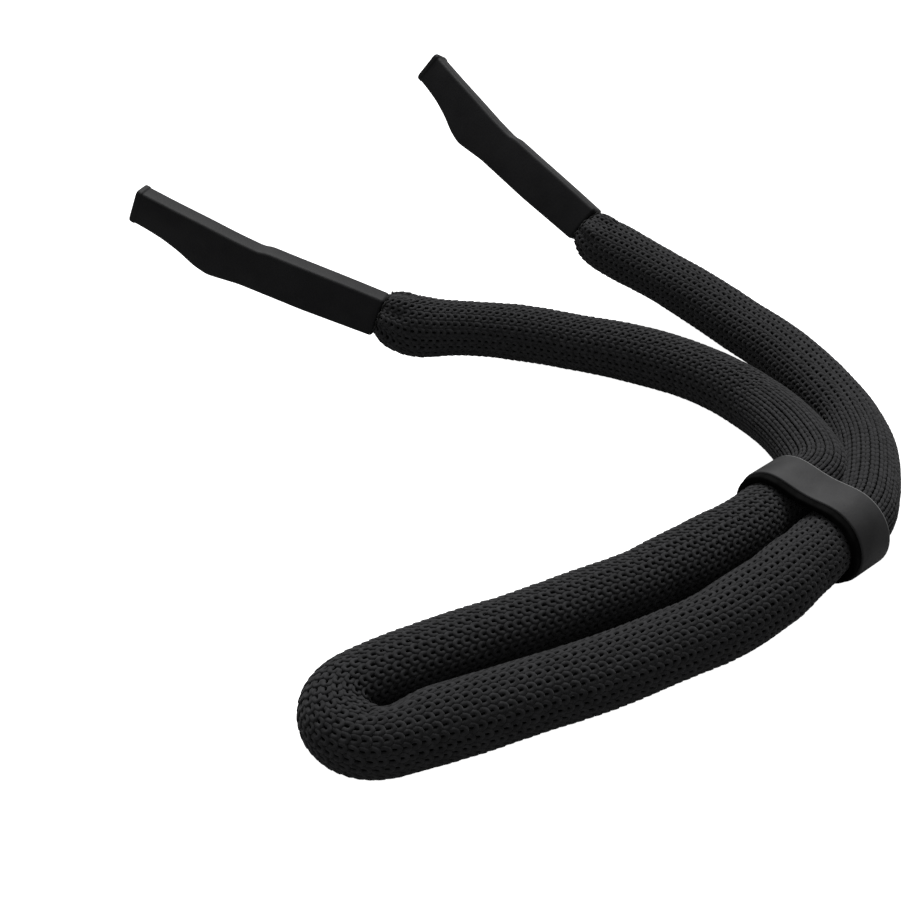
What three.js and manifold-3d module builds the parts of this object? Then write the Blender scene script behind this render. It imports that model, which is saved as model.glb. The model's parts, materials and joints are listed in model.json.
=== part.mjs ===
// Eyeglass retainer strap: one foam-cored knit tube folded in half, a leather keeper round both runs,
// and a rubber temple grip on each end.
// Millimetres, +Z up. X runs along the two straight runs under the keeper, towards the legs.
// The keeper's middle is at X = 0, Y = 0, and its underside is at Z = 0.

import * as THREE from 'three';
import { mergeVertices } from 'three/addons/utils/BufferGeometryUtils.js';
import Module from 'manifold-3d';

const wasm = await Module();
wasm.setup();

// Knit tube and its foam core.
const TUBE_RADIUS = 7.5;
const KNIT_INNER_RADIUS = 6.5;
const FOAM_RADIUS = 6.2;
const RUN_OFFSET = 9.0; // from the centre line to the middle of each run
const TUBE_SIDES = 14;
const FOAM_SIDES = 10;
const PATH_STEP = 6.5; // longest piece of path between two rings
const TIGHT_PATH_STEP = 3.9; // the same where the path goes round the hairpin

// Ball and cup where one length of tube turns on the next.
const BALL_RADIUS = 7.3;
const CUP_RADIUS = 8.2;
const FOAM_BALL_REACH = 6.0; // the foam's ball is trimmed to this distance from the tube's middle line
const CLOSED_KNIT_BALL_RADIUS = 6.45; // inside of the closed knit end beside a grip
const CLOSED_FOAM_BALL_RADIUS = 6.1;
const BALL_ROOT = 2; // how far a ball runs back into its tube
const PLUG_RADIUS = 6.45; // carries the knit's hollow out through a ball end
const BALL_SIDES = 12;
const BALL_RINGS = 4;
const CUP_SIDES = 14;
const CUP_RINGS = 8;

// Keeper: a leather strip bent round both runs, with a thin lining.
const KEEPER_WIDTH = 10;
const STRIP_THICKNESS = 1.4;
const LINING_THICKNESS = 0.4;
const LAYER_GAP = 0.1;
const KEEPER_CLEARANCE = 0.35;
const LINING_MARGIN = 0.6; // the lining stops this far inside the strip's edges
const STRIP_END_GAP = 0.3; // the strip's two ends meet underneath, to one side of the middle
const STRIP_SEAM_Y = 4;
const KEEPER_ARC_SIDES = 8;
const KEEPER_HOLE_RADIUS = TUBE_RADIUS + KEEPER_CLEARANCE;
const LINING_OUTER_RADIUS = KEEPER_HOLE_RADIUS + LINING_THICKNESS;
const STRIP_INNER_RADIUS = LINING_OUTER_RADIUS + LAYER_GAP;
const STRIP_OUTER_RADIUS = STRIP_INNER_RADIUS + STRIP_THICKNESS;
const RUN_HEIGHT = STRIP_OUTER_RADIUS; // height of both runs' middle lines
const RESTING_HEIGHT = TUBE_RADIUS; // height of the middle line where the tube lies on the ground

// The straight runs under the keeper end at these pivots.
const LEG_PIVOT_X = 8;
const TAIL_PIVOT_X = -45;

// A path is a list of arcs, each [length, turn to the left in degrees].
// The folded tail leaves the left run, goes round the hairpin and comes back to the right run.
// It droops from the runs until the hairpin lies on the ground.
const TAIL = [[14.4, -24.9], [49.127, 17.2], [23.5, 171.4], [49.831, -5.4], [17.5, 21.7]];
const TAIL_DROOP = 2;

// Legs from their root pivots.
const LEGS = {
  left: {
    side: 1,
    root: [[11, 52.7], [29.6, 28.5]],
    middle: [[26, 25.9], [26, 15.7]],
    end: [[36, 23.8], [8, -18]],
    lift: 5,
    grip: { yaw: 121.9, pitch: 19, roll: -8 },
  },
  right: {
    side: -1,
    root: [[11.9, 34.3], [28, 29.1]],
    middle: [[27, 3.9], [27, 18.2]],
    end: [[36, 9.1], [14, 5]],
    lift: 6,
    grip: { yaw: 91.9, pitch: 23.7, roll: -33 },
  },
};

// Drawn thread that gathers the closed end of the knit.
const GATHER_RING_RADIUS = 5.0;
const GATHER_THREAD_RADIUS = 0.3;
const GATHER_GAP = 0.1;

// Tongue that joins a grip to the knit end, measured from the end's pivot along the grip.
const TONGUE_START = BALL_RADIUS + 0.35;
const TONGUE_END = 14;
const TONGUE_HEIGHT = 5.6;
const TONGUE_THICKNESS = 2.2;
const TONGUE_SLOT_CLEARANCE = 0.3;

// Temple grip. X along its length from the tail face, heights from the line between its two ends' middles.
const GRIP_START = 8.3; // from the end's pivot to the grip's tail face
const GRIP_LENGTH = 71;
const GRIP_THICKNESS = 6.4;
const GRIP_BEVEL = 1.1;
const GRIP_TOP = [
  [0, 5.5], [15, 4.7], [26, 4.0], [33, 3.6], [36, 3.0], [43, 3.0], [52, 3.4], [61, 3.7], [71, 4.2],
];
const GRIP_BOTTOM = [
  [0, -5.6], [10, -6.5], [20, -7.4], [31, -8.0], [38, -8.4], [43, -9.2], [47, -9.8], [51, -9.0],
  [56, -7.1], [61, -5.8], [66, -5.1], [71, -4.7],
];
const SOCKET_HEIGHT = 4.6;
const SOCKET_THICKNESS = 3.0;
const SOCKET_DEPTH = 40;
const SOCKET_TILT = 3.5; // the socket runs down towards the belly

const KNIT = { color: 0x1b1b1d, roughness: 0.95, metalness: 0 };
const FOAM = { color: 0x2a2a2b, roughness: 0.9, metalness: 0 };
const GRIP_RUBBER = { color: 0x161618, roughness: 0.55, metalness: 0 };
const WEBBING = { color: 0x101012, roughness: 0.9, metalness: 0 };
const THREAD = { color: 0x0c0c0d, roughness: 0.85, metalness: 0 };
const STRIP_LEATHER = { color: 0x2c2d30, roughness: 0.5, metalness: 0 };
const LINING_CLOTH = { color: 0x0b0b0c, roughness: 0.85, metalness: 0 };

const radians = THREE.MathUtils.degToRad;

// A flat path of arcs that starts at the origin along +X.
class ArcPath extends THREE.Curve {
  constructor(arcs) {
    super();
    this.arcs = arcs;
    this.total = arcs.reduce((sum, [length]) => sum + length, 0);
  }

  stationAt(distance) {
    let x = 0;
    let y = 0;
    let heading = 0;
    let remaining = distance;
    for (const [length, turn] of this.arcs) {
      const travelled = Math.min(remaining, length);
      const bend = (radians(turn) * travelled) / length;
      const chord = bend === 0 ? travelled : (travelled * Math.sin(bend / 2)) / (bend / 2);
      x += chord * Math.cos(heading + bend / 2);
      y += chord * Math.sin(heading + bend / 2);
      heading += bend;
      remaining -= travelled;
    }
    return { x, y, heading };
  }

  getPoint(t, target = new THREE.Vector3()) {
    const { x, y } = this.stationAt(t * this.total);
    return target.set(x, y, 0);
  }

  get steps() {
    if (this.arcs.every(([, turn]) => turn === 0)) {
      return 1;
    }
    const hasHairpin = this.arcs.some(([, turn]) => Math.abs(turn) > 90);
    return Math.ceil(this.total / (hasHairpin ? TIGHT_PATH_STEP : PATH_STEP));
  }
}

function turnX(degrees) {
  return new THREE.Matrix4().makeRotationX(radians(degrees));
}

function turnY(degrees) {
  return new THREE.Matrix4().makeRotationY(radians(degrees));
}

function turnZ(degrees) {
  return new THREE.Matrix4().makeRotationZ(radians(degrees));
}

function moveTo(matrix) {
  const { x, y, z } = new THREE.Vector3().setFromMatrixPosition(matrix);
  return new THREE.Matrix4().makeTranslation(x, y, z);
}

function totalTurn(arcs) {
  return arcs.reduce((sum, [, turn]) => sum + turn, 0);
}

// The frame at the end of a path: X along the tube, Z up.
function endFrame(arcs) {
  const path = new ArcPath(arcs);
  const { x, y } = path.stationAt(path.total);
  return new THREE.Matrix4().makeTranslation(x, y, 0).multiply(turnZ(totalTurn(arcs)));
}

function toSolid(geometry, frame = null) {
  geometry.deleteAttribute('normal');
  geometry.deleteAttribute('uv');
  const merged = mergeVertices(geometry, 1e-4);
  if (frame) {
    merged.applyMatrix4(frame);
  }
  const vertProperties = new Float32Array(merged.attributes.position.array);
  const triVerts = new Uint32Array(merged.index.array);
  return new wasm.Manifold(new wasm.Mesh({ numProp: 3, vertProperties, triVerts }));
}

function toMesh(name, solid, finish) {
  const { vertProperties, triVerts } = solid.getMesh();
  const geometry = new THREE.BufferGeometry();
  geometry.setAttribute('position', new THREE.BufferAttribute(new Float32Array(vertProperties), 3));
  geometry.setIndex(new THREE.BufferAttribute(new Uint32Array(triVerts), 1));
  geometry.computeVertexNormals();
  const mesh = new THREE.Mesh(geometry, new THREE.MeshStandardMaterial(finish));
  mesh.name = name;
  return mesh;
}

function circleShape(radius, sides) {
  const points = [];
  for (let i = 0; i < sides; i += 1) {
    const angle = (2 * Math.PI * (i + 0.5)) / sides;
    points.push(new THREE.Vector2(radius * Math.cos(angle), radius * Math.sin(angle)));
  }
  return new THREE.Shape(points);
}

function rod(arcs, radius, sides, frame) {
  const path = new ArcPath(arcs);
  const options = { steps: path.steps, extrudePath: path, bevelEnabled: false };
  return toSolid(new THREE.ExtrudeGeometry(circleShape(radius, sides), options), frame);
}

// A ball end on a tube that ends at the frame's origin, trimmed to a distance from the middle line.
function ballEnd(ballRadius, reach, frame) {
  const profile = [new THREE.Vector2(0, -BALL_ROOT), new THREE.Vector2(reach, -BALL_ROOT)];
  const first = Math.asin(reach / ballRadius);
  for (let i = 0; i < BALL_RINGS; i += 1) {
    const angle = first * (1 - i / BALL_RINGS);
    profile.push(new THREE.Vector2(ballRadius * Math.sin(angle), ballRadius * Math.cos(angle)));
  }
  profile.push(new THREE.Vector2(0, ballRadius));
  return toSolid(new THREE.LatheGeometry(profile, BALL_SIDES), frame.clone().multiply(turnZ(-90)));
}

// A straight plug that carries the knit's hollow out through a ball end.
function hollowPlug(frame) {
  const plug = new THREE.CylinderGeometry(PLUG_RADIUS, PLUG_RADIUS, 2 * BALL_RADIUS, TUBE_SIDES);
  plug.translate(0, BALL_RADIUS - BALL_ROOT, 0);
  return toSolid(plug, frame.clone().multiply(turnZ(-90)));
}

function cupCutter(frame) {
  const sphere = new THREE.SphereGeometry(CUP_RADIUS, CUP_SIDES, CUP_RINGS);
  return toSolid(sphere, frame.clone().multiply(turnZ(-90)));
}

// One length of knit and foam. Each end is a ball, a cup or closed, at the path's end points.
function tubeLength(arcs, frame, startKind, endKind) {
  const startFrame = frame.clone().multiply(turnZ(180));
  const finishFrame = frame.clone().multiply(endFrame(arcs));
  let knit = rod(arcs, TUBE_RADIUS, TUBE_SIDES, frame);
  let foam = rod(arcs, FOAM_RADIUS, FOAM_SIDES, frame);
  let hollow = rod(arcs, KNIT_INNER_RADIUS, TUBE_SIDES, frame);
  for (const [kind, pivot] of [[startKind, startFrame], [endKind, finishFrame]]) {
    if (kind === 'ball') {
      knit = knit.add(ballEnd(BALL_RADIUS, BALL_RADIUS, pivot));
      foam = foam.add(ballEnd(BALL_RADIUS, FOAM_BALL_REACH, pivot));
      hollow = hollow.add(hollowPlug(pivot));
    }
    if (kind === 'closed') {
      knit = knit.add(ballEnd(BALL_RADIUS, BALL_RADIUS, pivot));
      foam = foam.add(ballEnd(CLOSED_FOAM_BALL_RADIUS, FOAM_BALL_REACH, pivot));
      hollow = hollow.add(ballEnd(CLOSED_KNIT_BALL_RADIUS, CLOSED_KNIT_BALL_RADIUS, pivot));
    }
  }
  knit = knit.subtract(hollow);
  for (const [kind, pivot] of [[startKind, startFrame], [endKind, finishFrame]]) {
    if (kind === 'cup') {
      knit = knit.subtract(cupCutter(pivot));
      foam = foam.subtract(cupCutter(pivot));
    }
  }
  return { knit, foam };
}

function tubeMeshes(knitName, foamName, { knit, foam }) {
  return [toMesh(knitName, knit, KNIT), toMesh(foamName, foam, FOAM)];
}

function runFrame(side) {
  return new THREE.Matrix4().makeTranslation(TAIL_PIVOT_X, side * RUN_OFFSET, RUN_HEIGHT);
}

function runMeshes(name, side) {
  const arcs = [[LEG_PIVOT_X - TAIL_PIVOT_X, 0]];
  const length = tubeLength(arcs, runFrame(side), 'ball', 'ball');
  return tubeMeshes(`${name}_run_knit`, `${name}_run_foam`, length);
}

function tailMeshes() {
  const frame = runFrame(1).multiply(turnZ(180)).multiply(turnY(TAIL_DROOP));
  return tubeMeshes('tail_knit', 'tail_foam', tubeLength(TAIL, frame, 'cup', 'cup'));
}

function gripFrame(pivot, { yaw, pitch, roll }) {
  return moveTo(pivot).multiply(turnZ(yaw)).multiply(turnY(-pitch)).multiply(turnX(-roll));
}

// Side outline of a grip, drawn one bevel inside its edges: X from the tail face to the mouth, Y up.
function gripOutline() {
  const bottom = GRIP_BOTTOM.map(([x, height]) => new THREE.Vector2(x, height + GRIP_BEVEL));
  const top = GRIP_TOP.map(([x, height]) => new THREE.Vector2(x, height - GRIP_BEVEL));
  return new THREE.Shape([...bottom, ...top.reverse()]);
}

function slab(length, height, thickness, start) {
  const box = new THREE.BoxGeometry(length, thickness, height);
  return box.translate(start + length / 2, 0, 0);
}

function gripSolid(frame) {
  const flat = GRIP_THICKNESS - 2 * GRIP_BEVEL;
  const body = new THREE.ExtrudeGeometry(gripOutline(), {
    depth: flat,
    bevelEnabled: true,
    bevelThickness: GRIP_BEVEL,
    bevelSize: GRIP_BEVEL,
    bevelSegments: 2,
  });
  body.translate(0, 0, -flat / 2);
  body.rotateX(Math.PI / 2); // outline height along Z, thickness along Y
  body.translate(GRIP_START, 0, 0);
  const mouth = GRIP_START + GRIP_LENGTH;
  // Square ends: the bevel is trimmed off the tail and the mouth.
  const keep = slab(GRIP_LENGTH, 40, 40, GRIP_START);
  const socket = slab(SOCKET_DEPTH + 5, SOCKET_HEIGHT, SOCKET_THICKNESS, -SOCKET_DEPTH);
  socket.rotateY(radians(-SOCKET_TILT));
  socket.translate(mouth, 0, 0);
  const clearance = 2 * TONGUE_SLOT_CLEARANCE;
  const slotLength = TONGUE_END + TONGUE_SLOT_CLEARANCE - GRIP_START + 5;
  const slot = slab(slotLength, TONGUE_HEIGHT + clearance, TONGUE_THICKNESS + clearance, GRIP_START - 5);
  return toSolid(body, frame)
    .intersect(toSolid(keep, frame))
    .subtract(toSolid(socket, frame))
    .subtract(toSolid(slot, frame));
}

function tongueSolid(frame) {
  return toSolid(slab(TONGUE_END - TONGUE_START, TONGUE_HEIGHT, TONGUE_THICKNESS, TONGUE_START), frame);
}

function gatherSolid(pivot) {
  const ringDistance = BALL_RADIUS + GATHER_GAP + GATHER_THREAD_RADIUS;
  const along = Math.sqrt(ringDistance ** 2 - GATHER_RING_RADIUS ** 2);
  const ring = new THREE.TorusGeometry(GATHER_RING_RADIUS, GATHER_THREAD_RADIUS, 6, 24);
  ring.rotateY(Math.PI / 2);
  ring.translate(along, 0, 0);
  return toSolid(ring, pivot);
}

// Frames of a leg's root, middle, end and grip. The root droops until the middle lies on the ground.
function legFrames(leg) {
  const pivot = new THREE.Matrix4().makeTranslation(LEG_PIVOT_X, leg.side * RUN_OFFSET, RUN_HEIGHT);
  const rootPath = new ArcPath(leg.root);
  const { x, y } = rootPath.stationAt(rootPath.total);
  const towards = THREE.MathUtils.radToDeg(Math.atan2(y, x));
  const droop = THREE.MathUtils.radToDeg(Math.asin((RUN_HEIGHT - RESTING_HEIGHT) / Math.hypot(x, y)));
  const root = pivot.multiply(turnZ(towards)).multiply(turnY(droop)).multiply(turnZ(-towards));
  const middle = moveTo(root.clone().multiply(endFrame(leg.root))).multiply(turnZ(totalTurn(leg.root)));
  const end = middle.clone().multiply(endFrame(leg.middle)).multiply(turnY(-leg.lift));
  const grip = gripFrame(end.clone().multiply(endFrame(leg.end)), leg.grip);
  return { root, middle, end, grip };
}

function legMeshes(name, leg) {
  const { root, middle, end, grip } = legFrames(leg);
  const rootLength = tubeLength(leg.root, root, 'cup', 'ball');
  const middleLength = tubeLength(leg.middle, middle, 'cup', 'ball');
  const endLength = tubeLength(leg.end, end, 'cup', 'closed');
  return [
    ...tubeMeshes(`${name}_root_knit`, `${name}_root_foam`, rootLength),
    ...tubeMeshes(`${name}_middle_knit`, `${name}_middle_foam`, middleLength),
    ...tubeMeshes(`${name}_end_knit`, `${name}_end_foam`, endLength),
    toMesh(`${name}_end_gather`, gatherSolid(grip), THREAD),
    toMesh(`${name}_grip_tongue`, tongueSolid(grip), WEBBING),
    toMesh(`${name}_temple_grip`, gripSolid(grip), GRIP_RUBBER),
  ];
}

// Outline round both runs at a distance from each run's middle. It starts and ends at the seam.
function keeperOutline(radius, halfGap) {
  const points = [new THREE.Vector2(STRIP_SEAM_Y + halfGap, -radius)];
  for (const side of [1, -1]) {
    for (let i = 0; i <= KEEPER_ARC_SIDES; i += 1) {
      const angle = side * (-Math.PI / 2) + (Math.PI * i) / KEEPER_ARC_SIDES;
      const y = side * RUN_OFFSET + radius * Math.cos(angle);
      points.push(new THREE.Vector2(y, radius * Math.sin(angle)));
    }
  }
  points.push(new THREE.Vector2(STRIP_SEAM_Y - halfGap, -radius));
  return points;
}

// A shape drawn in Y and Z, extruded along X about the keeper's middle.
function extrudeAlongX(shape, width) {
  const geometry = new THREE.ExtrudeGeometry(shape, { depth: width, bevelEnabled: false, steps: 1 });
  geometry.translate(0, 0, -width / 2);
  geometry.applyMatrix4(new THREE.Matrix4().set(0, 0, 1, 0, 1, 0, 0, 0, 0, 1, 0, RUN_HEIGHT, 0, 0, 0, 1));
  return toSolid(geometry);
}

function stripSolid() {
  const outer = keeperOutline(STRIP_OUTER_RADIUS, STRIP_END_GAP / 2);
  const inner = keeperOutline(STRIP_INNER_RADIUS, STRIP_END_GAP / 2);
  return extrudeAlongX(new THREE.Shape([...outer, ...inner.reverse()]), KEEPER_WIDTH);
}

function liningSolid() {
  const shape = new THREE.Shape(keeperOutline(LINING_OUTER_RADIUS, 0).slice(1));
  shape.holes.push(new THREE.Path(keeperOutline(KEEPER_HOLE_RADIUS, 0).slice(1)));
  return extrudeAlongX(shape, KEEPER_WIDTH - 2 * LINING_MARGIN);
}

const strap = new THREE.Group();
strap.name = 'eyeglass_retainer_strap';
strap.add(
  toMesh('keeper_strip', stripSolid(), STRIP_LEATHER),
  toMesh('keeper_lining', liningSolid(), LINING_CLOTH),
  ...runMeshes('left', 1),
  ...runMeshes('right', -1),
  ...tailMeshes(),
  ...legMeshes('left', LEGS.left),
  ...legMeshes('right', LEGS.right),
);

export default strap;
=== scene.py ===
import json
import math

import bpy
import numpy as np
from mathutils import Matrix, Vector


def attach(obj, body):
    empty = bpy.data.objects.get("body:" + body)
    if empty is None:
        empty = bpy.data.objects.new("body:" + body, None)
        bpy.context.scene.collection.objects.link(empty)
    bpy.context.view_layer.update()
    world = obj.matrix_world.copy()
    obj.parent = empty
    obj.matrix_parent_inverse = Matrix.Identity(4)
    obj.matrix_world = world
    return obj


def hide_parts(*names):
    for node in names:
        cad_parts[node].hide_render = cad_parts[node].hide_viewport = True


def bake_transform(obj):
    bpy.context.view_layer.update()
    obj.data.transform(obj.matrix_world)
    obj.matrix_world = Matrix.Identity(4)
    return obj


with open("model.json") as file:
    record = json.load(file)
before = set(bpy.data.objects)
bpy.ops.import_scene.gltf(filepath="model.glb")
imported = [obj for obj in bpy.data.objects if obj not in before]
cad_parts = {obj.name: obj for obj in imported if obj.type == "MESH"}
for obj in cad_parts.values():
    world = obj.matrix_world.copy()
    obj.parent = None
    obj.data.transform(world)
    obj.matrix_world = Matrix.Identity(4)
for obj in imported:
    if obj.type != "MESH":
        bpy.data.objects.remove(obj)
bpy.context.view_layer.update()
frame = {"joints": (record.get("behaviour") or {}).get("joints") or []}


# ------------------------------------------------------------------ sizes, in millimetres
MM = 0.001
TUBE_RADIUS = 7.5
RUN_OFFSET = 9.0
RUN_HEIGHT = 9.75
LEG_PIVOT_X = 8.0
RESTING_HEIGHT = TUBE_RADIUS  # where the tube lies on the table
TAIL_PIVOT_X = -45.0

# A path is a list of arcs, each its length and its turn to the left in degrees.
TAIL = [(14.4, -24.9), (49.127, 17.2), (23.5, 171.4), (49.831, -5.4), (17.5, 21.7)]
TAIL_DROOP = 2.0

LEGS = {
    "left": {
        "side": 1,
        "root": [(11, 52.7), (29.6, 28.5)],
        "middle": [(26, 25.9), (26, 15.7)],
        "end": [(36, 23.8), (8, -18)],
        "lift": 5,
        "grip": (121.9, 19, -8),
    },
    "right": {
        "side": -1,
        "root": [(11.9, 34.3), (28, 29.1)],
        "middle": [(27, 3.9), (27, 18.2)],
        "end": [(36, 9.1), (14, 5)],
        "lift": 6,
        "grip": (91.9, 23.7, -33),
    },
}

# Knit: each wale is a chain of loops that runs along the tube.
WALES = 22
COURSE_PITCH = 1.85
YARN_HALF_WIDTH = 0.52
YARN_FLATNESS = 0.66  # height of the yarn as a share of its width
YARN_SIDES = 6
FOAM_SHOW_RADIUS = 6.72
FOAM_STEP = 1.5
FOAM_SIDES = 28
# Left half of one loop, from its foot to its head: across the wale as a share of the wale's width,
# along the tube and outwards.
LOOP_HALF = [
    (-0.17, -1.15, -0.60),
    (-0.29, -0.72, -0.24),
    (-0.355, -0.20, -0.05),
    (-0.34, 0.32, 0.00),
    (-0.21, 0.74, 0.05),
    (0.00, 0.90, 0.06),
]
# The same where the knit is drawn into plain ribs: the loop's legs run on into the next loop's
# and its head sinks.
RIB_HALF = [
    (-0.17, -1.30, -0.20),
    (-0.185, -0.72, 0.05),
    (-0.21, -0.20, 0.05),
    (-0.235, 0.32, 0.05),
    (-0.25, 0.92, 0.03),
    (0.00, 1.15, -1.05),
]
HEAD_HEIGHT = 0.06
END_ROUND = 9.2  # how fast the knit's end closes past the last pivot
END_OPENING = 5.0  # radius at which the end meets the grip's tail
END_REACH = 12.0  # the middle line runs straight on this far past the last pivots

STEP = 0.25  # spacing of the samples along the middle line


# ------------------------------------------------------------------ middle line of the whole tube
def arc_points(arcs):
    """Samples of a flat path of arcs from the origin along +X: x, y and heading."""
    xs, ys, hs = [0.0], [0.0], [0.0]
    x = y = heading = 0.0
    for length, turn in arcs:
        count = max(1, round(length / STEP))
        bend = math.radians(turn) / count
        step = length / count
        for _ in range(count):
            x += step * math.cos(heading + bend / 2)
            y += step * math.sin(heading + bend / 2)
            heading += bend
            xs.append(x)
            ys.append(y)
            hs.append(heading)
    return np.array(xs), np.array(ys), np.array(hs)


def place(arcs, origin, heading, pitch=0.0, towards=0.0):
    """The path's samples in space and its last heading. It is pitched up along one flat direction."""
    xs, ys, hs = arc_points(arcs)
    about = Matrix.Rotation(towards, 3, "Z")
    tilt = about @ Matrix.Rotation(math.radians(-pitch), 3, "Y") @ about.transposed()
    turn = Matrix.Rotation(math.radians(heading), 3, "Z") @ tilt
    flat = np.stack([xs, ys, np.zeros_like(xs)], axis=1)
    return np.array(origin) + flat @ np.array(turn).T, heading + math.degrees(hs[-1])


def leg_line(leg):
    """A leg's middle line from its root pivot to the end pivot, with the pivots' distances."""
    start = (LEG_PIVOT_X, leg["side"] * RUN_OFFSET, RUN_HEIGHT)
    xs, ys, _ = arc_points(leg["root"])
    droop = math.degrees(math.asin((RUN_HEIGHT - RESTING_HEIGHT) / math.hypot(xs[-1], ys[-1])))
    root, heading = place(leg["root"], start, 0, -droop, math.atan2(ys[-1], xs[-1]))
    middle, heading = place(leg["middle"], root[-1], heading)
    end, _ = place(leg["end"], middle[-1], heading, leg["lift"])
    root_length = sum(length for length, _ in leg["root"])
    middle_length = sum(length for length, _ in leg["middle"])
    return np.vstack([root, middle[1:], end[1:]]), (root_length, root_length + middle_length)


def tail_line():
    """The folded tail's middle line, from the left run's pivot to the right run's."""
    points, _ = place(TAIL, (TAIL_PIVOT_X, RUN_OFFSET, RUN_HEIGHT), 180, -TAIL_DROOP)
    return points


def grip_turn(leg):
    """The grip's axes as a rotation: X along it to the mouth, Y across, Z tall."""
    yaw, pitch, roll = (math.radians(v) for v in leg["grip"])
    heading = Matrix.Rotation(yaw, 3, "Z")
    climb = Matrix.Rotation(-pitch, 3, "Y")
    twist = Matrix.Rotation(-roll, 3, "X")
    return np.array(heading @ climb @ twist)


def extend(points, length):
    """Adds a straight length to each end towards its grip, for the knit's rounded ends."""
    ts = np.arange(1, round(length / STEP) + 1)[:, None] * STEP
    first = points[0] + ts * grip_turn(LEGS["left"])[:, 0]
    last = points[-1] + ts * grip_turn(LEGS["right"])[:, 0]
    return np.vstack([first[::-1], points, last])


def smooth(t):
    """0 up to 0, 1 from 1 on, and level at both ends of the rise between."""
    t = np.clip(t, 0, 1)
    return t * t * (3 - 2 * t)


def window(s, middle, full, fade):
    """1 within full of the middle, and falls smoothly to 0 over the next fade."""
    return 1 - smooth((np.abs(s - middle) - full) / fade)


def between(s, start, end, rise, fall):
    """1 from start to end. It rises before the start and falls after the end, each over its own length."""
    return smooth((s - start) / rise + 1) * smooth((end - s) / fall + 1)


def eased(s, table):
    """A curve through (distance, value) pairs, level at each of them."""
    places, values = np.array(table, float).T
    i = np.clip(np.searchsorted(places, s) - 1, 0, len(places) - 2)
    share = smooth((s - places[i]) / (places[i + 1] - places[i]))
    return values[i] + share * (values[i + 1] - values[i])


def rounded(points, reach):
    """The line averaged over this many millimetres each way."""
    count = round(reach / STEP)
    weights = np.hanning(2 * count + 3)[1:-1]
    weights /= weights.sum()
    padded = np.vstack([np.repeat(points[:1], count, 0), points, np.repeat(points[-1:], count, 0)])
    soft = np.stack([np.convolve(padded[:, k], weights, "valid") for k in range(3)], axis=1)
    share = np.clip(np.minimum(np.arange(len(points)), np.arange(len(points))[::-1]) / (2 * count), 0, 1)
    return points + share[:, None] * (soft - points)


def distances(points):
    """Distance of each point along the line, 0 at the left end pivot."""
    gaps = np.linalg.norm(np.diff(points, axis=0), axis=1)
    walked = np.concatenate([[0.0], np.cumsum(gaps)])
    return walked - walked[round(END_REACH / STEP)]


left_leg, left_pivots = leg_line(LEGS["left"])
right_leg, right_pivots = leg_line(LEGS["right"])
left_length = sum(length for part in ("root", "middle", "end") for length, _ in LEGS["left"][part])
run_length = LEG_PIVOT_X - TAIL_PIVOT_X
tail_length = sum(length for length, _ in TAIL)
left_run, _ = place([(run_length, 0)], (LEG_PIVOT_X, RUN_OFFSET, RUN_HEIGHT), 180)
right_run, _ = place([(run_length, 0)], (TAIL_PIVOT_X, -RUN_OFFSET, RUN_HEIGHT), 0)
whole = [left_leg[::-1], left_run[1:], tail_line()[1:], right_run[1:], right_leg[1:]]
drawn = extend(np.vstack(whole), END_REACH)
drawn_s = distances(drawn)

# Distances along the drawn line: the pivots, from the left leg's last to the right leg's last, with the
# hairpin's tip among them.
left_root_s = left_length
tail_left_s = left_length + run_length
tail_right_s = tail_left_s + tail_length
right_root_s = tail_right_s + run_length
marks = (
    left_length - left_pivots[1],
    left_length - left_pivots[0],
    left_root_s,
    tail_left_s,
    tail_left_s + TAIL[0][0] + TAIL[1][0] + TAIL[2][0] / 2,
    tail_right_s,
    right_root_s,
    right_root_s + right_pivots[0],
    right_root_s + right_pivots[1],
)

# The stuffed tube has no kinks: it bends over a long way beside the tail's pivots and a short way elsewhere.
near_tail = window(drawn_s, tail_left_s + 4, 20, 18) + window(drawn_s, tail_right_s - 4, 20, 18)
line = rounded(drawn, 4.0)
line += near_tail[:, None] * (rounded(drawn, 30.0) - line)

# How far the runs are moved from the drawn line towards +Y, because the keeper pinches them together.
# Each pair is a distance from the keeper's middle, positive towards the tail, and the move there.
LEFT_RUN_SHIFT = ((-30, 0), (-6, -1.0), (6, -1.0), (16, -1.7), (28, -0.9), (42, 0.3), (56, 1.2), (80, 0))
RIGHT_RUN_SHIFT = ((-46, 0), (-10, 2.0), (5, 2.0), (14, 0.9), (26, -0.3), (40, -0.4), (56, 0.6), (80, 0))
LEG_DRAWN_BACK = 5.2  # the right leg turns this much closer to the keeper than the drawn line does
LEG_BULGE = 0.7  # how far its middle then bows out
LEG_HOLLOW = 1.5  # how far it bows in before that, as a share of the bulge
HAIRPIN_REACH = np.array([-0.6, 1.3, 0.0])  # how far the hairpin's tip is moved
line[:, 1] += eased(drawn_s - left_root_s - LEG_PIVOT_X, LEFT_RUN_SHIFT)
line[:, 1] += eased(right_root_s - LEG_PIVOT_X - drawn_s, RIGHT_RUN_SHIFT)
line[:, 0] -= LEG_DRAWN_BACK * between(drawn_s, right_root_s + 8, right_root_s + 10, 20, 42)
leg_middle = window(drawn_s, right_root_s + 54, 4, 16)
leg_start = window(drawn_s, right_root_s + 18, 4, 18)
line[:, 0] += LEG_BULGE * (leg_middle - LEG_HOLLOW * leg_start)
line += window(drawn_s, marks[4], 6, 26)[:, None] * HAIRPIN_REACH

stations = distances(line)
total = stations[-1 - round(END_REACH / STEP)]
(S_LEFT_LIFT, S_LEFT_CURL, S_LEFT_SWING, S_TAIL_LEFT, S_APEX,
 S_TAIL_RIGHT, S_RIGHT_SWING, S_RIGHT_CURL, S_RIGHT_LIFT) = np.interp(marks, drawn_s, stations)

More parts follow.
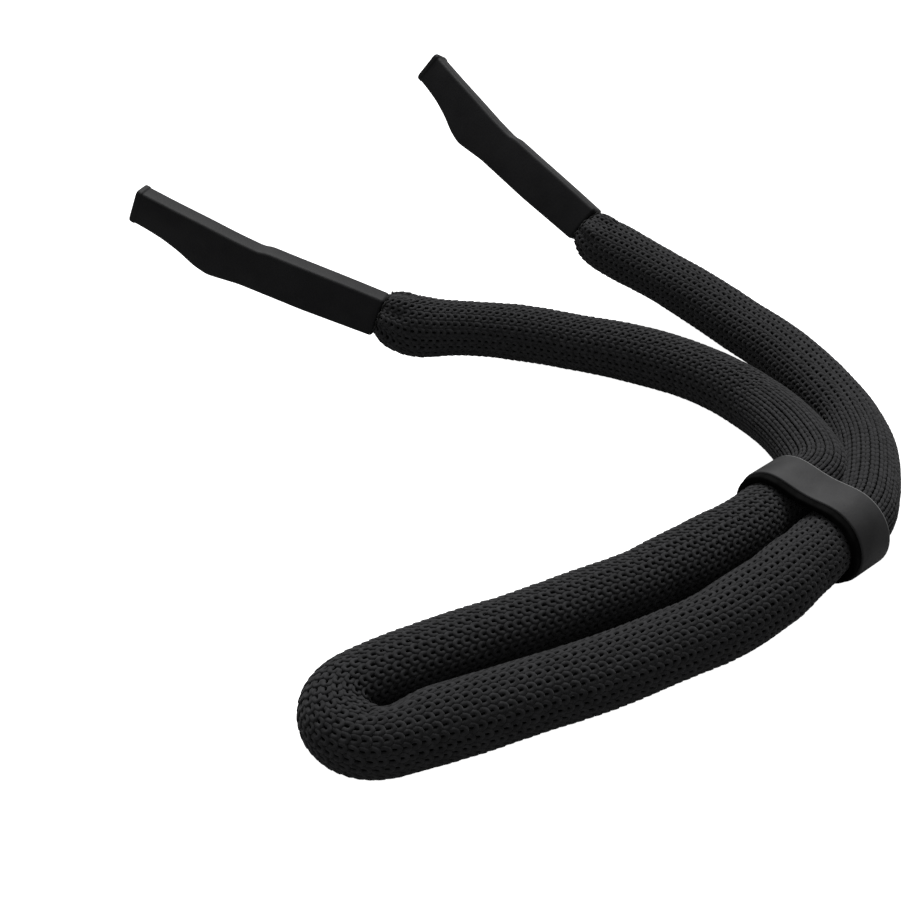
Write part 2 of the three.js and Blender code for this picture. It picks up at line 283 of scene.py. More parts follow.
tangents = np.gradient(line, axis=0)
tangents /= np.linalg.norm(tangents, axis=1)[:, None]
lefts = np.cross((0.0, 0.0, 1.0), tangents)
lefts /= np.linalg.norm(lefts, axis=1)[:, None]
ups = np.cross(tangents, lefts)


def at(table, s):
    """Rows of a table of the line's samples, at distances s along it."""
    return np.stack([np.interp(s, stations, table[:, k]) for k in range(3)], axis=-1)


# ------------------------------------------------------------------ outside of the tube
def end_profile():
    """Rounded end: distance walked along the surface, distance past the pivot, radius and tilt."""
    theta = np.linspace(0, math.pi / 2, 200)
    past = END_ROUND * np.sin(theta) ** 0.72
    radius = TUBE_RADIUS * np.cos(theta) ** 0.62
    keep = radius > END_OPENING
    past, radius = past[keep], radius[keep]
    walked = np.concatenate([[0], np.cumsum(np.hypot(np.diff(past), np.diff(radius)))])
    tilt = np.arctan2(-np.gradient(radius), np.gradient(past))
    return walked, past, radius, tilt


END_WALK, END_PAST, END_RADIUS, END_TILT = end_profile()
W_MIN = -END_WALK[-1]
W_MAX = total + END_WALK[-1]


def profile(w):
    """Station, radius and tilt of the surface at a distance w along it. 0 to total is the plain tube."""
    over = np.maximum(-w, w - total)
    inside = over <= 0
    past = np.interp(over, END_WALK, END_PAST)
    radius = np.where(inside, TUBE_RADIUS, np.interp(over, END_WALK, END_RADIUS))
    tilt = np.where(inside, 0.0, np.interp(over, END_WALK, END_TILT))
    side = np.where(w < 0, -1.0, 1.0)
    s = np.where(inside, w, np.where(w < 0, -past, total + past))
    return s, radius, tilt * side


def swell(w, phi):
    """Radius of the stuffed tube at a place, as a share of its plain radius.

    It is even and slightly squeezed under the keeper and wavy elsewhere. The knit swells and pleats at
    its ends, slimmer on the right end's inner side. It folds, creases and puckers at the hairpin.
    """
    squeeze = window(w, S_LEFT_SWING + LEG_PIVOT_X, 4, 9) + window(w, S_RIGHT_SWING - LEG_PIVOT_X, 4, 9)
    fat = 0.05 * (window(w, S_LEFT_SWING + 33, 6, 14) + window(w, S_RIGHT_SWING - 33, 6, 14))
    wave = 0.009 * np.sin(w / 9.3 + 1.1) + 0.008 * np.sin(w / 5.1 + 2 * phi) + fat
    inwards = np.minimum(w, total - w)  # from the nearer end
    shoulder = 0.07 * window(inwards, 2, 0, 8) - 0.03 * window(inwards, 18, 2, 10)
    shoulder -= 0.12 * (w > total / 2) * np.cos(phi / 2) ** 2 * smooth((10 - inwards) / 8)
    pleats = 0.07 * smooth((1 - inwards) / 5) * np.cos(7 * phi + np.sin(2 * phi))
    fold = 0.20 * np.exp(-((w - S_APEX - 13) / 4) ** 2 + (np.cos(phi - 0.9) - 1) / 0.15)
    crease = 0.13 * np.exp(-((w - S_APEX - 7) / 1.6) ** 2 + (np.cos(phi - 1.4) - 1) / 0.03)
    pinch = fold + crease + 0.02 * window(w, S_APEX, 8, 14)
    return 1 + wave * (1 - squeeze) - 0.02 * squeeze + shoulder + pleats - pinch


def ribbing(s):
    """How far the knit is drawn into plain ribs: on both legs just past the keeper."""
    left = between(s, S_LEFT_SWING - 24, S_LEFT_SWING + 2, 22, 6)
    right = between(s, S_RIGHT_SWING - 2, S_RIGHT_SWING + 28, 6, 24)
    return left + right


def surface(w, phi, out):
    """Points w along the tube, phi round it and out millimetres off it, and their outward directions."""
    s, radius, tilt = profile(w)
    centre, along = at(line, s), at(tangents, s)
    left, up = at(lefts, s), at(ups, s)
    radial = np.cos(phi)[..., None] * left + np.sin(phi)[..., None] * up
    normal = np.cos(tilt)[..., None] * radial + np.sin(tilt)[..., None] * along
    rho = radius * swell(w, phi)
    return centre + rho[..., None] * radial + out[..., None] * normal, normal


# ------------------------------------------------------------------ mesh helpers
def make_mesh(name, points, faces, material):
    """One smooth-shaded object from points in millimetres and an array of quads, or a list of polygons."""
    mesh = bpy.data.meshes.new(name)
    points = np.asarray(points, np.float32).reshape(-1, 3) * MM
    if isinstance(faces, np.ndarray):
        mesh.vertices.add(len(points))
        mesh.vertices.foreach_set("co", points.ravel())
        mesh.loops.add(faces.size)
        mesh.loops.foreach_set("vertex_index", faces.astype(np.int32).ravel())
        mesh.polygons.add(len(faces))
        mesh.polygons.foreach_set("loop_start", np.arange(0, faces.size, faces.shape[1], dtype=np.int32))
        mesh.update(calc_edges=True)
    else:
        mesh.from_pydata([tuple(map(float, p)) for p in points], [], faces)
    mesh.validate()
    mesh.shade_smooth()
    mesh.materials.append(material)
    piece = bpy.data.objects.new(name, mesh)
    bpy.context.scene.collection.objects.link(piece)
    return piece


def grid_faces(rows, columns):
    """Quads of a grid of rows by columns of points, closed round the columns."""
    here = np.arange(rows - 1)[:, None] * columns
    after = here + columns
    c = np.arange(columns)[None, :]
    n = (c + 1) % columns
    corners = np.broadcast_arrays(here + c, here + n, after + n, after + c)
    return np.stack(corners, axis=-1).reshape(-1, 4)


def capped_faces(rows, columns):
    """The same quads as a list, with a polygon over each open end."""
    faces = [tuple(int(v) for v in face) for face in grid_faces(rows, columns)]
    faces.append(tuple(range(columns))[::-1])
    faces.append(tuple(range((rows - 1) * columns, rows * columns)))
    return faces


def yarn_tubes(paths, normals, radius, sides, flatness=1.0):
    """Yarn along n paths of k points: paths is (n, k, 3), radius is (n, k). Flat yarn lies flat."""
    along = np.gradient(paths, axis=1)
    along /= np.linalg.norm(along, axis=2)[..., None]
    side = np.cross(along, normals)
    side /= np.linalg.norm(side, axis=2)[..., None]
    up = np.cross(side, along)
    angles = np.arange(sides) * 2 * math.pi / sides
    ring = (
        paths[:, :, None, :]
        + radius[:, :, None, None] * np.cos(angles)[None, None, :, None] * side[:, :, None, :]
        + flatness * radius[:, :, None, None] * np.sin(angles)[None, None, :, None] * up[:, :, None, :]
    )
    n, k = paths.shape[:2]
    one = grid_faces(k, sides)
    faces = (one[None] + (np.arange(n) * k * sides)[:, None, None]).reshape(-1, 4)
    return ring.reshape(-1, 3), faces


# ------------------------------------------------------------------ materials
def new_material(name, roughness, specular, colours, scale, bump=0.0, bump_scale=1000.0, sheen=0.0):
    """A principled material whose colour runs between two shades by noise, with an optional fine bump."""
    material = bpy.data.materials.new(name)
    material.use_nodes = True
    nodes, links = material.node_tree.nodes, material.node_tree.links
    shader = nodes["Principled BSDF"]
    where = nodes.new("ShaderNodeTexCoord")
    noise = nodes.new("ShaderNodeTexNoise")
    noise.inputs["Scale"].default_value = scale
    noise.inputs["Detail"].default_value = 3.0
    ramp = nodes.new("ShaderNodeValToRGB")
    ramp.color_ramp.elements[0].position = 0.35
    ramp.color_ramp.elements[1].position = 0.65
    ramp.color_ramp.elements[0].color = (*colours[0], 1)
    ramp.color_ramp.elements[1].color = (*colours[1], 1)
    links.new(where.outputs["Object"], noise.inputs["Vector"])
    links.new(noise.outputs["Fac"], ramp.inputs["Fac"])
    links.new(ramp.outputs["Color"], shader.inputs["Base Color"])
    shader.inputs["Roughness"].default_value = roughness
    shader.inputs["Specular IOR Level"].default_value = specular
    shader.inputs["Sheen Weight"].default_value = sheen
    shader.inputs["Sheen Roughness"].default_value = 0.5
    if bump > 0:
        grain = nodes.new("ShaderNodeTexNoise")
        grain.inputs["Scale"].default_value = bump_scale
        grain.inputs["Detail"].default_value = 4.0
        node = nodes.new("ShaderNodeBump")
        node.inputs["Strength"].default_value = bump
        node.inputs["Distance"].default_value = 0.0002
        links.new(where.outputs["Object"], grain.inputs["Vector"])
        links.new(grain.outputs["Fac"], node.inputs["Height"])
        links.new(node.outputs["Normal"], shader.inputs["Normal"])
    return material


def band_of_x(material, start, end, colour):
    """Repaints a material between two X positions, in millimetres, with a plain colour."""
    nodes, links = material.node_tree.nodes, material.node_tree.links
    shader = nodes["Principled BSDF"]
    before = shader.inputs["Base Color"].links[0].from_socket
    where = nodes.new("ShaderNodeTexCoord")
    split = nodes.new("ShaderNodeSeparateXYZ")
    links.new(where.outputs["Object"], split.inputs["Vector"])
    inside = []
    for operation, edge in (("GREATER_THAN", start), ("LESS_THAN", end)):
        test = nodes.new("ShaderNodeMath")
        test.operation = operation
        test.inputs[1].default_value = edge * MM
        links.new(split.outputs["X"], test.inputs[0])
        inside.append(test)
    both = nodes.new("ShaderNodeMath")
    both.operation = "MULTIPLY"
    links.new(inside[0].outputs[0], both.inputs[0])
    links.new(inside[1].outputs[0], both.inputs[1])
    mix = nodes.new("ShaderNodeMix")
    mix.data_type = "RGBA"
    mix.inputs["B"].default_value = (*colour, 1)
    links.new(both.outputs[0], mix.inputs["Factor"])
    links.new(before, mix.inputs["A"])
    links.new(mix.outputs["Result"], shader.inputs["Base Color"])


YARN = new_material("knit yarn", 0.9, 0.08, ((0.010, 0.010, 0.0105), (0.019, 0.019, 0.020)), 900, sheen=0.03)
# The foam core is real, but its colour, darker than the yarn's, is painted shade in the holes between the
# knit's loops.
FOAM_WITH_HOLE_SHADE = new_material("foam", 0.95, 0.05, ((0.003, 0.003, 0.003), (0.005, 0.005, 0.005)), 700)
RUBBER_SHADES = ((0.0055, 0.0055, 0.006), (0.008, 0.008, 0.0085))
RUBBER = new_material("grip rubber", 0.6, 0.08, RUBBER_SHADES, 150, 0.3, 1500, sheen=0.02)
WEBBING = new_material("webbing", 0.9, 0.1, ((0.004, 0.004, 0.004), (0.008, 0.008, 0.008)), 800)
THREAD = new_material("thread", 0.8, 0.1, ((0.004, 0.004, 0.004), (0.008, 0.008, 0.008)), 900)
LEATHER_SHADES = ((0.014, 0.014, 0.0145), (0.020, 0.020, 0.0205))
LEATHER = new_material("strip leather", 0.62, 0.09, LEATHER_SHADES, 220, 0.2, 1500)
band_of_x(LEATHER, 4.55, 4.85, (0.09, 0.09, 0.09))  # the pale line along the strip's edge on the legs' side
# Near black: partly the lining's own dark colour, partly painted shade under the keeper's front rim, where
# the lining shows past the leather.
LINING_WITH_RIM_SHADE = new_material("lining cloth with painted rim shade", 0.9, 0.02, ((0.001, 0.001, 0.001), (0.0025, 0.0025, 0.0025)), 500)


# ------------------------------------------------------------------ knit and foam pieces
rng = np.random.default_rng(20)
LOOP_SAMPLES = 13


def spline(points, count):
    """Even samples of a smooth curve through points."""
    n = len(points)
    t = np.linspace(0, n - 1, count)
    i = np.clip(t.astype(int), 0, n - 2)
    f = (t - i)[:, None]
    p0 = points[np.maximum(i - 1, 0)]
    p1, p2 = points[i], points[i + 1]
    p3 = points[np.minimum(i + 2, n - 1)]
    slope = (p2 - p0) * f
    bend = (2 * p0 - 5 * p1 + 4 * p2 - p3) * f**2
    twist = (3 * p1 - p0 - 3 * p2 + p3) * f**3
    return 0.5 * (2 * p1 + slope + bend + twist)


def whole_loop(half):
    """A loop's curve from its left half."""
    half = np.array(half)
    return spline(np.vstack([half, half[-2::-1] * (-1, 1, 1)]), LOOP_SAMPLES)


def wale_angle(wale, w):
    """Angle of a wale round the tube. The wales twist slowly along it."""
    return (wale + 0.5) * 2 * math.pi / WALES + 0.10 * np.sin(w / 60.0 + 0.7)


def wale_courses(wale):
    """A wale's loops: where each sits along the surface, its length there, and how crowded it is.

    Round a bend the outer wales hold more loops and the inner wales fewer. Each stretch of the tube
    takes a whole number more or fewer, so neighbouring wales stay staggered by half a loop.
    """
    w = np.arange(W_MIN, W_MAX, 0.5)
    points, _ = surface(w, wale_angle(wale, w), np.zeros_like(w))
    stretch = np.maximum(np.linalg.norm(np.gradient(points, axis=0), axis=1) / 0.5, 0.12)
    density = np.full_like(w, 1 / COURSE_PITCH)
    bends = (W_MIN, S_LEFT_CURL, S_LEFT_SWING + 20, S_TAIL_LEFT + 30, S_TAIL_RIGHT - 30, S_RIGHT_SWING - 20,
             S_RIGHT_CURL, W_MAX)
    for start, end in zip(bends, bends[1:]):
        here = (w >= start) & (w < end)
        extra = (stretch[here] ** 0.8 - 1) / COURSE_PITCH
        wanted = extra.sum() * 0.5
        if abs(wanted) > 0.5:
            density[here] += extra * round(wanted) / wanted
    phase = np.concatenate([[0.0], np.cumsum(0.5 * density[:-1])])
    phase *= round(phase[-1]) / phase[-1]
    middles = np.interp(np.arange(round(phase[-1])) + (0.5 if wale % 2 == 0 else 1.0), phase, w)
    length = 1 / np.interp(middles, w, density)
    crowding = np.clip(length * np.interp(middles, w, stretch) / COURSE_PITCH, 0.5, 1.15)
    return middles, length / COURSE_PITCH, crowding


loop_shape = whole_loop(LOOP_HALF)
rib_shape = whole_loop(RIB_HALF)
wales = [wale_courses(wale) for wale in range(WALES)]
loop_w, loop_length, loop_crowding = (np.concatenate(column) for column in zip(*wales))
loop_wale = np.concatenate([np.full(len(middles), wale) for wale, (middles, _, _) in enumerate(wales)])
jitter_along = rng.normal(0, 0.05, len(loop_w))
jitter_across = rng.normal(0, 0.035, len(loop_w))
jitter_out = rng.normal(0, 0.02, len(loop_w))
jitter_size = rng.normal(1, 0.03, len(loop_w))


def knit_piece(name, w_from, w_to):
    """The loops whose middles lie in one stretch of the tube, as yarn in one mesh."""
    chosen = (loop_w >= w_from) & (loop_w < w_to)
    middle, wale = loop_w[chosen][:, None], loop_wale[chosen][:, None]
    size, crowding = jitter_size[chosen][:, None], loop_crowding[chosen][:, None]
    ribbed = ribbing(middle)[..., None]
    shape = loop_shape * (1 - ribbed) + rib_shape * ribbed
    w = middle + jitter_along[chosen][:, None] + shape[..., 1] * size * loop_length[chosen][:, None]
    w = np.clip(w, W_MIN, W_MAX)
    _, radius, _ = profile(w)
    shrink = np.clip(radius / TUBE_RADIUS, 0.3, 1)
    across = shape[..., 0] * size * 2 * math.pi / WALES
    phi = wale_angle(wale, w) + across + (1 - ribbed[..., 0]) * jitter_across[chosen][:, None] / TUBE_RADIUS
    yarn = YARN_HALF_WIDTH * (0.45 + 0.55 * shrink) * np.minimum(crowding, 1) * (1 - 0.1 * ribbed[..., 0])
    out = (shape[..., 2] - HEAD_HEIGHT + jitter_out[chosen][:, None]) * shrink - YARN_FLATNESS * yarn
    points, normals = surface(w, phi, out)
    yarn[:, [0, -1]] *= 0.5
    verts, faces = yarn_tubes(points, normals, yarn, YARN_SIDES, YARN_FLATNESS)
    return make_mesh(name, verts, faces, YARN)


def foam_piece(name, w_from, w_to):
    """One stretch of the foam core, closed at both ends."""
    w = np.linspace(w_from, w_to, max(3, round((w_to - w_from) / FOAM_STEP)))
    phi = np.arange(FOAM_SIDES) * 2 * math.pi / FOAM_SIDES
    ww, pp = np.meshgrid(w, phi, indexing="ij")
    _, radius, _ = profile(ww)
    out = np.maximum(FOAM_SHOW_RADIUS - TUBE_RADIUS, -0.10 * radius)
    points, _ = surface(ww, pp, out * np.ones_like(ww))
    # The foam's dark colour shows through the knit's holes as painted shade.
    return make_mesh(name, points, capped_faces(len(w), FOAM_SIDES), FOAM_WITH_HOLE_SHADE)


def pivot_of(joint_name):
    """A joint's pivot in millimetres, from the frame."""
    joint = next(j for j in frame["joints"] if j["name"] == joint_name)
    return np.array(joint["pos_m"]) / MM


CUFF = 6.0  # the cuff pieces reach this far in from the knit's end pivots
CUFF_PIVOT = 0.5  # how far inside the legs' last pivots the cuffs bend
CUFF_BEND = 4.5  # half the length of a bend: at the cuffs, at the legs' hinges and at the tail's
LEG_BEND = 10
TAIL_BEND = 9
RUN_CUT = 29  # how far from the legs' first pivots, towards the tail, the root pieces end
LEFT_SPLIT = (S_LEFT_LIFT + S_LEFT_CURL) / 2, (S_LEFT_CURL + S_LEFT_SWING) / 2
RIGHT_SPLIT = (S_RIGHT_CURL + S_RIGHT_SWING) / 2, (S_RIGHT_LIFT + S_RIGHT_CURL) / 2
LEFT_CUT = S_LEFT_SWING + RUN_CUT
RIGHT_CUT = S_RIGHT_SWING - RUN_CUT
# Name, where it starts and ends, its two bodies, its joint, half the length of its bend, and the CAD
# nodes it stands for. A bend of None is the one beside the keeper.
TUBE_PIECES = [
    ("left_cuff", W_MIN, CUFF, "left_grip", "left_leg_end", CUFF_PIVOT, CUFF_BEND, ["left_end"]),
    ("left_end", CUFF, LEFT_SPLIT[0], "left_leg_end", "left_leg_middle", S_LEFT_LIFT, LEG_BEND, ["left_end"]),
    ("left_middle", *LEFT_SPLIT, "left_leg_middle", "left_leg_root", S_LEFT_CURL, LEG_BEND, ["left_middle"]),
    ("left_root", LEFT_SPLIT[1], LEFT_CUT, "left_leg_root", "runs", S_LEFT_SWING, None, ["left_root"]),
    ("left_tail", LEFT_CUT, S_APEX, "runs", "tail", S_TAIL_LEFT, TAIL_BEND, ["left_run"]),
    ("right_tail", S_APEX, RIGHT_CUT, "tail", "runs", S_TAIL_RIGHT, TAIL_BEND, ["tail"]),
    ("right_root", RIGHT_CUT, RIGHT_SPLIT[0], "runs", "right_leg_root", S_RIGHT_SWING, None, ["right_run"]),
    ("right_middle", *RIGHT_SPLIT, "right_leg_root", "right_leg_middle", S_RIGHT_CURL, LEG_BEND,
     ["right_root", "right_middle"]),
    ("right_end", RIGHT_SPLIT[1], total - CUFF, "right_leg_middle", "right_leg_end", S_RIGHT_LIFT, LEG_BEND,
     ["right_end"]),
    ("right_cuff", total - CUFF, W_MAX, "right_leg_end", "right_grip", total - CUFF_PIVOT, CUFF_BEND,
     ["right_end"]),
]


def tube_piece(kind, build, suffix, name, w_from, w_to, body_a, body_b, joint_s, half, stands_for):
    """One stretch of the knit or the foam."""
    piece = build(f"{name}_{kind}_{suffix}", w_from, w_to)
    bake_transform(piece)
    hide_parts(*[f"{node}_{kind}" for node in stands_for])


for row in TUBE_PIECES:
    tube_piece("knit", knit_piece, "cover", *row)
    tube_piece("foam", foam_piece, "core", *row)


# ------------------------------------------------------------------ temple grips
GRIP_START = 8.3
GRIP_LENGTH = 71.0
GRIP_HALF_THICKNESS = 3.2
# The grip's upper and lower edges: distance from its tail and height.
GRIP_TOP = ((0, 5.5), (8, 5.1), (15, 4.7), (26, 4.0), (32.6, 3.65), (33.8, 3.5), (35.2, 3.05),
            (36.6, 2.92), (43, 3.0), (52, 3.4), (61, 3.7), (71, 4.2))
GRIP_BOTTOM = ((0, -5.6), (10, -6.5), (20, -7.4), (31, -8.0), (38, -8.4), (43, -9.2),
               (47, -9.8), (51, -9.0), (56, -7.1), (61, -5.8), (66, -5.1), (71, -4.7))
SOCKET_HALF_HEIGHT = 2.3
SOCKET_HALF_THICKNESS = 1.5
SOCKET_DEPTH = 40.0
SOCKET_TILT = 3.5
TONGUE_HALF_HEIGHT = 2.8
TONGUE_HALF_THICKNESS = 1.1
TAIL_ROUND = 0.9
MOUTH_ROUND = 0.6
LIP_HEIGHT = 0.2
LIP_LENGTH = 1.9
GRIP_SAG = {"left": -0.9, "right": 0.4}  # how far each grip is moved up from its pivot, to match the picture
CORNER_POINTS = 5


def grip_axes(name):
    """Where the grip's axes start, and the axes: along, across and tall."""
    return pivot_of(f"{name}_grip_flex") + (0, 0, GRIP_SAG[name]), grip_turn(LEGS[name]).T


def edge_curve(points, soft):
    """A smooth edge through a list of distances and heights, sampled every quarter millimetre."""
    xs = np.arange(0, GRIP_LENGTH + 0.1, 0.25)
    heights = np.interp(xs, *np.array(points).T)
    count = round(soft / 0.25)
    weights = np.hanning(2 * count + 3)[1:-1]
    ends = 2 * heights[0] - heights[count:0:-1], 2 * heights[-1] - heights[-2:-count - 2:-1]
    return xs, np.convolve(np.concatenate([ends[0], heights, ends[1]]), weights / weights.sum(), "valid")


TOP_CURVE = edge_curve(GRIP_TOP, 0.75)
BOTTOM_CURVE = edge_curve(GRIP_BOTTOM, 2.0)


def grip_top(x):
    """Height of the grip's upper edge at a distance from its tail."""
    return float(np.interp(x, *TOP_CURVE))


def grip_bottom(x):
    """Height of the grip's lower edge there."""
    return float(np.interp(x, *BOTTOM_CURVE))


def rounded_section(top, bottom, half, corner):
    """Closed outline of a rounded rectangle: across and tall."""
    points = []
    corner = min(corner, half * 0.98, (top - bottom) / 2 * 0.98)
    for cx, cz, first in ((half, top, 0), (-half, top, 90), (-half, bottom, 180), (half, bottom, 270)):
        sx, sz = math.copysign(1, cx), 1 if cz == top else -1
        for i in range(CORNER_POINTS):
            angle = math.radians(first + 90 * i / (CORNER_POINTS - 1))
            across = cx - sx * corner + corner * math.cos(angle)
            points.append((across, cz - sz * corner + corner * math.sin(angle)))
    return points


def grip_mesh(name):
    """One skin: tongue slot, tail face, outside, lip round the mouth and socket."""
    rings = []

    def outside(x, inset):
        """A ring on the outside, drawn in by inset. It stands out by the lip's height near the mouth."""
        station = min(max(x, 0.0), GRIP_LENGTH)
        inset -= LIP_HEIGHT * smooth((station - GRIP_LENGTH + LIP_LENGTH) / 0.6)
        top, bottom = grip_top(station) - inset, grip_bottom(station) + inset
        section = rounded_section(top, bottom, GRIP_HALF_THICKNESS - inset, 1.1 - 0.4 * inset)
        rings.append([(x, a, t) for a, t in section])

    def slot(x, margin):
        """A ring in the slot that takes the tongue."""
        top, half = TONGUE_HALF_HEIGHT + margin, TONGUE_HALF_THICKNESS + margin
        section = rounded_section(top, -top, half, 0.3)
        rings.append([(x, a, t) for a, t in section])

    def socket(depth, margin):
        """A ring in the socket, which tilts down as it goes in."""
        x, sink = GRIP_LENGTH - depth, depth * math.tan(math.radians(SOCKET_TILT))
        height, thickness = SOCKET_HALF_HEIGHT + margin, SOCKET_HALF_THICKNESS + margin
        section = rounded_section(height - sink, -height - sink, thickness, 0.7)
        rings.append([(x, a, t) for a, t in section])

    slot(6.2, 0.1)
    slot(0.3, 0.1)
    slot(0.0, 0.4)
    for i in range(6):
        angle = math.pi / 2 * i / 5
        outside(TAIL_ROUND * (1 - math.cos(angle)), TAIL_ROUND * (1 - math.sin(angle)))
    near_mouth = GRIP_LENGTH - 2.0
    for x in (*np.arange(1.0, near_mouth, 0.6), *np.arange(near_mouth, GRIP_LENGTH - 0.7, 0.15)):
        outside(float(x), 0.0)
    for i in range(6):
        angle = math.pi / 2 * i / 5
        outside(GRIP_LENGTH - MOUTH_ROUND * (1 - math.sin(angle)), MOUTH_ROUND * (1 - math.cos(angle)))
    socket(0.0, 0.35)
    socket(0.3, 0.08)
    for depth in (0.8, 8, 20, 32, SOCKET_DEPTH):
        socket(depth, 0.0)
    points = np.array(rings).reshape(-1, 3)
    pivot, axes = grip_axes(name)
    along = (points[:, :1] + GRIP_START) * axes[0]
    placed = pivot + along + points[:, 1:2] * axes[1] + points[:, 2:3] * axes[2]
    return make_mesh(f"{name}_moulded_grip", placed, capped_faces(len(rings), len(rings[0])), RUBBER)


for side in ("left", "right"):
    grip = grip_mesh(side)
    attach(grip, f"{side}_grip")
    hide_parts(f"{side}_temple_grip")


# ------------------------------------------------------------------ keeper
KEEPER_MIDDLE = 0.5  # it sits this far to the left of the middle, as the runs do
KEEPER_OFFSET = 7.5  # from there to the middle of each run
STRIP_EDGES = (-4.6, 5.0)
STRIP_INNER_RADIUS = 8.15
STRIP_THICKNESS = 1.3
# The lining stands 1.7 mm out past the strip's front edge, so its black shows as a rim: partly the real
# lining, partly painted shade under the rim.
LINING_EDGES = (-6.3, 4.3)
LINING_RADIUS = 7.45
LINING_THICKNESS = 1.55
TOP_DIP = 0.5  # the keeper sinks this far between the two runs
KEEPER_SEAM = 4.0  # where its ends meet underneath, to the left of its middle


def keeper_path(radius, gap):
    """Round both runs from one strip end to the other: points and outward directions in Y and Z."""
    quarter = np.radians(np.linspace(0, 90, 13))
    half_turn = [(math.sin(a), -math.cos(a)) for a in quarter[:-1]]
    half_turn += [(math.cos(a), math.sin(a)) for a in quarter]
    points = [(KEEPER_SEAM + gap, -radius)]
    points += [(KEEPER_OFFSET + radius * ny, radius * nz) for ny, nz in half_turn]
    for share in np.linspace(1, -1, 25)[1:-1]:
        points.append((share * KEEPER_OFFSET, radius - TOP_DIP * math.cos(math.pi / 2 * share) ** 2))
    points += [(-KEEPER_OFFSET - radius * ny, radius * nz) for ny, nz in reversed(half_turn)]
    points.append((KEEPER_SEAM - gap, -radius))
    points = np.array(points)
    along = np.gradient(points, axis=0)
    normals = np.stack([along[:, 1], -along[:, 0]], axis=1)
    return points, normals / np.linalg.norm(normals, axis=1)[:, None]


def strip_mesh(name, edges, radius, thickness, corner, gap, material):
    """A strip with rounded edges: its section runs over X and thickness, swept round both runs."""
    points, normals = keeper_path(radius, gap)
    middle, half_width = sum(edges) / 2, (edges[1] - edges[0]) / 2
    section = rounded_section(thickness, 0.0, half_width, corner)
    rows = []
    for (y, z), (ny, nz) in zip(points, normals):
        rows.append([(middle + x, KEEPER_MIDDLE + y + ny * t, RUN_HEIGHT + z + nz * t) for x, t in section])
    return make_mesh(name, np.array(rows).reshape(-1, 3), capped_faces(len(rows), len(section)), material)


strip = strip_mesh(
    "keeper_leather_strip", STRIP_EDGES, STRIP_INNER_RADIUS, STRIP_THICKNESS, 0.4, 0.12, LEATHER
)
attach(strip, "keeper")
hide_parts("keeper_strip")
lining = strip_mesh("keeper_lining_with_painted_rim_shade", LINING_EDGES, LINING_RADIUS, LINING_THICKNESS, 0.5, 0.0, LINING_WITH_RIM_SHADE)
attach(lining, "keeper")
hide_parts("keeper_lining")

# ------------------------------------------------------------------ tongues and gather threads
TONGUE_START = 7.0
TONGUE_END = 14.0


def tongue_mesh(name):
    """Webbing with a woven face: cross ribs along a flat strip with rounded edges."""
    pivot, axes = grip_axes(name)
    rows = []
    for x in np.arange(TONGUE_START, TONGUE_END + 0.01, 0.1):
        rib = 0.06 * math.sin(2 * math.pi * x / 0.7)
        half = TONGUE_HALF_THICKNESS - 0.06 + rib
        section = rounded_section(TONGUE_HALF_HEIGHT, -TONGUE_HALF_HEIGHT, half, 0.5)
        rows.append([pivot + x * axes[0] + across * axes[1] + tall * axes[2] for across, tall in section])
    faces = capped_faces(len(rows), len(rows[0]))
    return make_mesh(f"{name}_webbing_tongue", np.array(rows).reshape(-1, 3), faces, WEBBING)


def gather_mesh(name):
    """Thread drawn round the closed knit end, over and under its pleats, as one closed ring."""
    phi = np.linspace(0, 2 * math.pi, 133)[:-1]
    past = np.interp(-5.6, -END_RADIUS, END_WALK)
    w = np.full_like(phi, -past if name == "left" else total + past)
    points, normals = surface(w, phi, -0.1 + 0.25 * np.cos(14 * phi))
    count, sides = len(phi), 6
    along = np.roll(points, -1, axis=0) - np.roll(points, 1, axis=0)
    along /= np.linalg.norm(along, axis=1)[:, None]
    side = np.cross(along, normals)
    side /= np.linalg.norm(side, axis=1)[:, None]
    up = np.cross(side, along)
    angles = np.arange(sides) * 2 * math.pi / sides
    ring = points[:, None] + 0.24 * (
        np.cos(angles)[None, :, None] * side[:, None] + np.sin(angles)[None, :, None] * up[:, None]
    )
    faces = grid_faces(count + 1, sides) % (count * sides)
    return make_mesh(f"{name}_gather_thread", ring.reshape(-1, 3), faces, THREAD)


# The bend at each gather thread's cuff: its place and its two bodies.
GATHER_BENDS = {
    "left": (CUFF_PIVOT, "left_grip", "left_leg_end"),
    "right": (total - CUFF_PIVOT, "right_leg_end", "right_grip"),
}
for side, (joint_s, body_a, body_b) in GATHER_BENDS.items():
    tongue = tongue_mesh(side)
    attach(tongue, f"{side}_grip")
    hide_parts(f"{side}_grip_tongue")
    gather = gather_mesh(side)
    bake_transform(gather)
    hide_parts(f"{side}_end_gather")

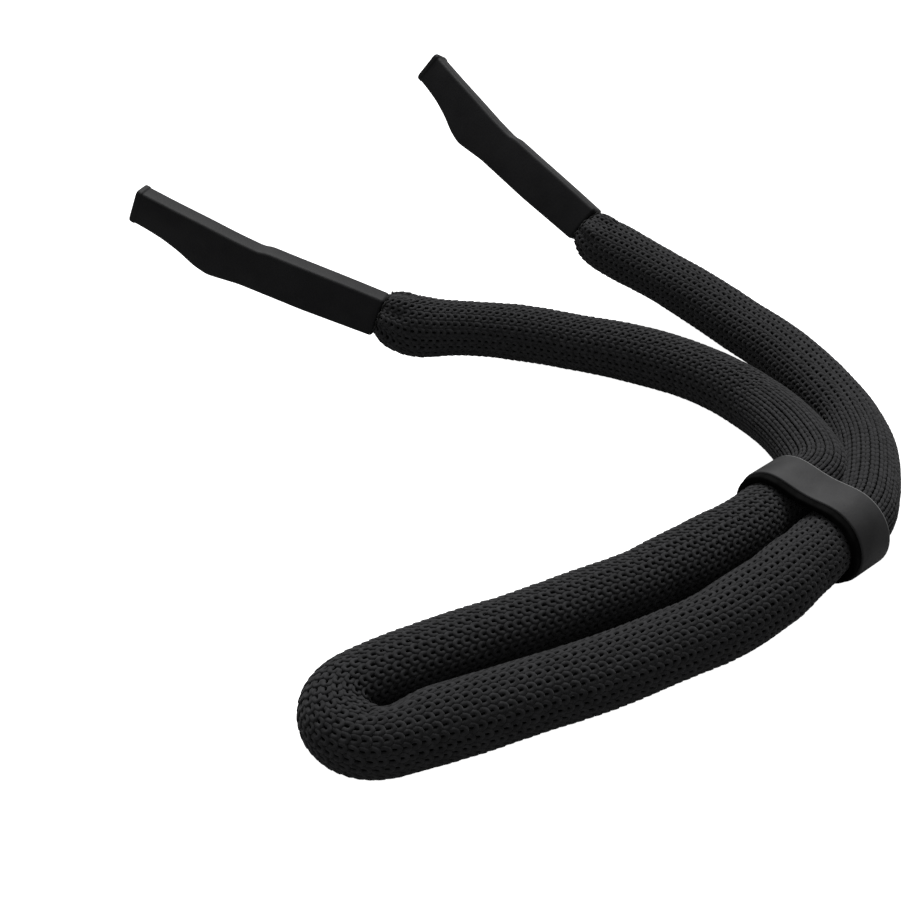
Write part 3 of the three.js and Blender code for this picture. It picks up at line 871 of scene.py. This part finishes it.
# ------------------------------------------------------------------ floor, light and camera
floor_material = bpy.data.materials.new("floor")
floor_material.use_nodes = True
floor_nodes, floor_links = floor_material.node_tree.nodes, floor_material.node_tree.links
floor_shader = floor_nodes["Principled BSDF"]
floor_shader.inputs["Roughness"].default_value = 0.9
floor_shader.inputs["Specular IOR Level"].default_value = 0.0
floor_rays = floor_nodes.new("ShaderNodeLightPath")
floor_shader.inputs["Base Color"].default_value = (0.35, 0.35, 0.35, 1)  # a weak bounce from below
floor_shader.inputs["Emission Color"].default_value = (1, 1, 1, 1)
floor_links.new(floor_rays.outputs["Is Camera Ray"], floor_shader.inputs["Emission Strength"])
floor_mesh = bpy.data.meshes.new("floor")
floor_corners = [(x * 6, y * 6, -0.0002) for x, y in ((-1, -1), (1, -1), (1, 1), (-1, 1))]
floor_mesh.from_pydata(floor_corners, [], [(0, 1, 2, 3)])
floor_mesh.materials.append(floor_material)
floor = bpy.data.objects.new("floor", floor_mesh)
bpy.context.scene.collection.objects.link(floor)

world = bpy.data.worlds.new("studio")
world.use_nodes = True
world.node_tree.nodes["Background"].inputs["Color"].default_value = (1, 1, 1, 1)
world_nodes, world_links = world.node_tree.nodes, world.node_tree.links
world_rays = world_nodes.new("ShaderNodeLightPath")
world_strength = world_nodes.new("ShaderNodeMapRange")
world_strength.inputs["To Min"].default_value = 0.46
world_strength.inputs["To Max"].default_value = 1.0
world_links.new(world_rays.outputs["Is Camera Ray"], world_strength.inputs["Value"])
world_links.new(world_strength.outputs["Result"], world_nodes["Background"].inputs["Strength"])
bpy.context.scene.world = world
bpy.context.scene.view_settings.view_transform = "Standard"


def area_light(name, place_at, aim, size, power):
    """A round soft light at a place, turned to an aim."""
    data = bpy.data.lights.new(name, "AREA")
    data.shape = "DISK"
    data.size = size
    data.energy = power
    lamp = bpy.data.objects.new(name, data)
    lamp.location = place_at
    lamp.rotation_euler = (Vector(aim) - Vector(place_at)).to_track_quat("-Z", "Y").to_euler()
    bpy.context.scene.collection.objects.link(lamp)


area_light("overhead", (0.42, 0.52, 0.90), (0, 0.05, 0), 0.7, 25)

CAMERA_PLACE = (-0.23365, -0.14847, 0.2160)
CAMERA_HEADING = 48.69
CAMERA_DOWN = 35.6
camera_data = bpy.data.cameras.new("camera")
camera_data.lens = 60.07
camera_data.sensor_width = 36.0
camera_data.clip_start = 0.01
camera = bpy.data.objects.new("camera", camera_data)
camera.location = CAMERA_PLACE
camera.rotation_euler = (math.radians(90 - CAMERA_DOWN), 0, math.radians(CAMERA_HEADING - 90))
bpy.context.scene.collection.objects.link(camera)
bpy.context.scene.camera = camera
